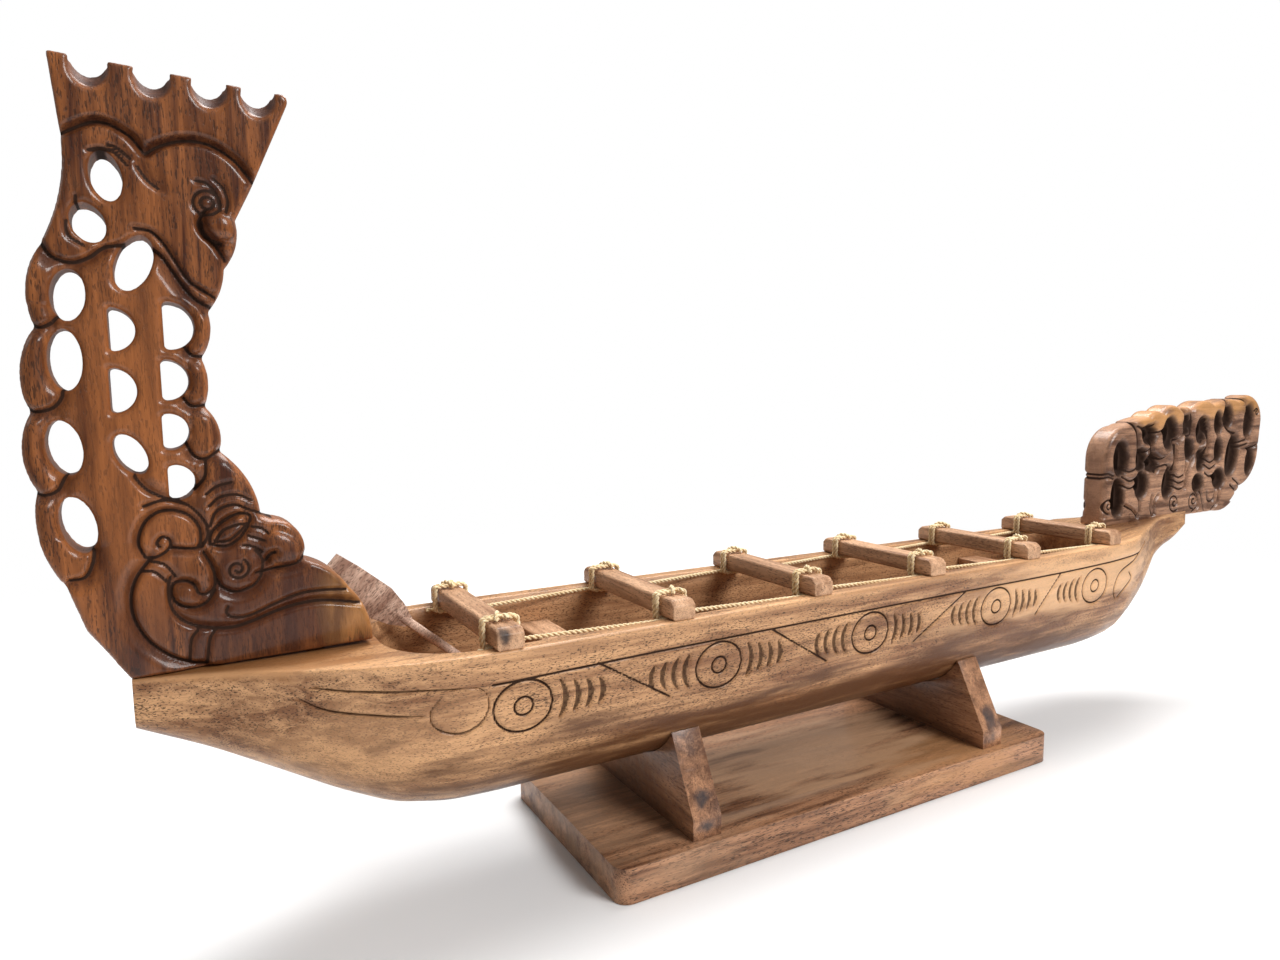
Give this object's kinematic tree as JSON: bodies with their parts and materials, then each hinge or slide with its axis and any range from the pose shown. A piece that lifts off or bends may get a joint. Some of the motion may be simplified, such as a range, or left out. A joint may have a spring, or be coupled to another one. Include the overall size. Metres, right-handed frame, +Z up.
{
  "type": "model canoe on stand",
  "caption": "Carved wooden ceremonial model canoe with a pierced sternpost and figurehead, lashed thwarts, a loose paddle and a cradle stand.",
  "frame": {"origin": "middle of the base board's underside, the face that the stand rests on", "axes": "+X along the hull towards the bow, +Y to port, +Z up"},
  "size_m": [0.9122, 0.134, 0.3732],
  "materials": {
    "stand_wood": "satin",
    "hull_wood": "satin",
    "thwart_wood": "satin",
    "sternpost_wood": "gloss",
    "figurehead_wood": "gloss",
    "paddle_wood": "matte",
    "peg_wood": "matte",
    "twine": "matte",
    "steel": "satin"
  },
  "bodies": {
    "stand": {"base_board": "stand_wood", "cradle_stern": "stand_wood", "cradle_bow": "stand_wood", "cradle_nails": "steel"},
    "canoe": {"hull": "hull_wood", "thwart_1": "thwart_wood", "thwart_2": "thwart_wood", "thwart_3": "thwart_wood", "thwart_4": "thwart_wood", "thwart_5": "thwart_wood", "thwart_6": "thwart_wood", "thwart_pins": "steel", "seat_stern": "thwart_wood", "seat_bow": "thwart_wood", "lashing_cord_port": "twine", "lashing_cord_starboard": "twine"},
    "stern_carving": {"sternpost": "sternpost_wood", "sternpost_pegs": "peg_wood"},
    "bow_carving": {"figurehead": "figurehead_wood", "figurehead_pegs": "peg_wood"},
    "paddle": {"paddle": "paddle_wood"}
  },
  "joints": [
    {"name": "canoe_lift", "type": "slide", "parent": "stand", "child": "canoe", "axis": [0, 0, 1], "range_m": [0, 0.06]},
    {"name": "sternpost_lift", "type": "slide", "parent": "canoe", "child": "stern_carving", "axis": [0, 0, 1], "range_m": [0, 0.03]},
    {"name": "figurehead_lift", "type": "slide", "parent": "canoe", "child": "bow_carving", "axis": [0, 0, 1], "range_m": [0, 0.03]},
    {"name": "paddle_draw", "type": "slide", "parent": "canoe", "child": "paddle", "axis": [-0.7547, 0, 0.6561], "range_m": [0, 0.1]}
  ]
}
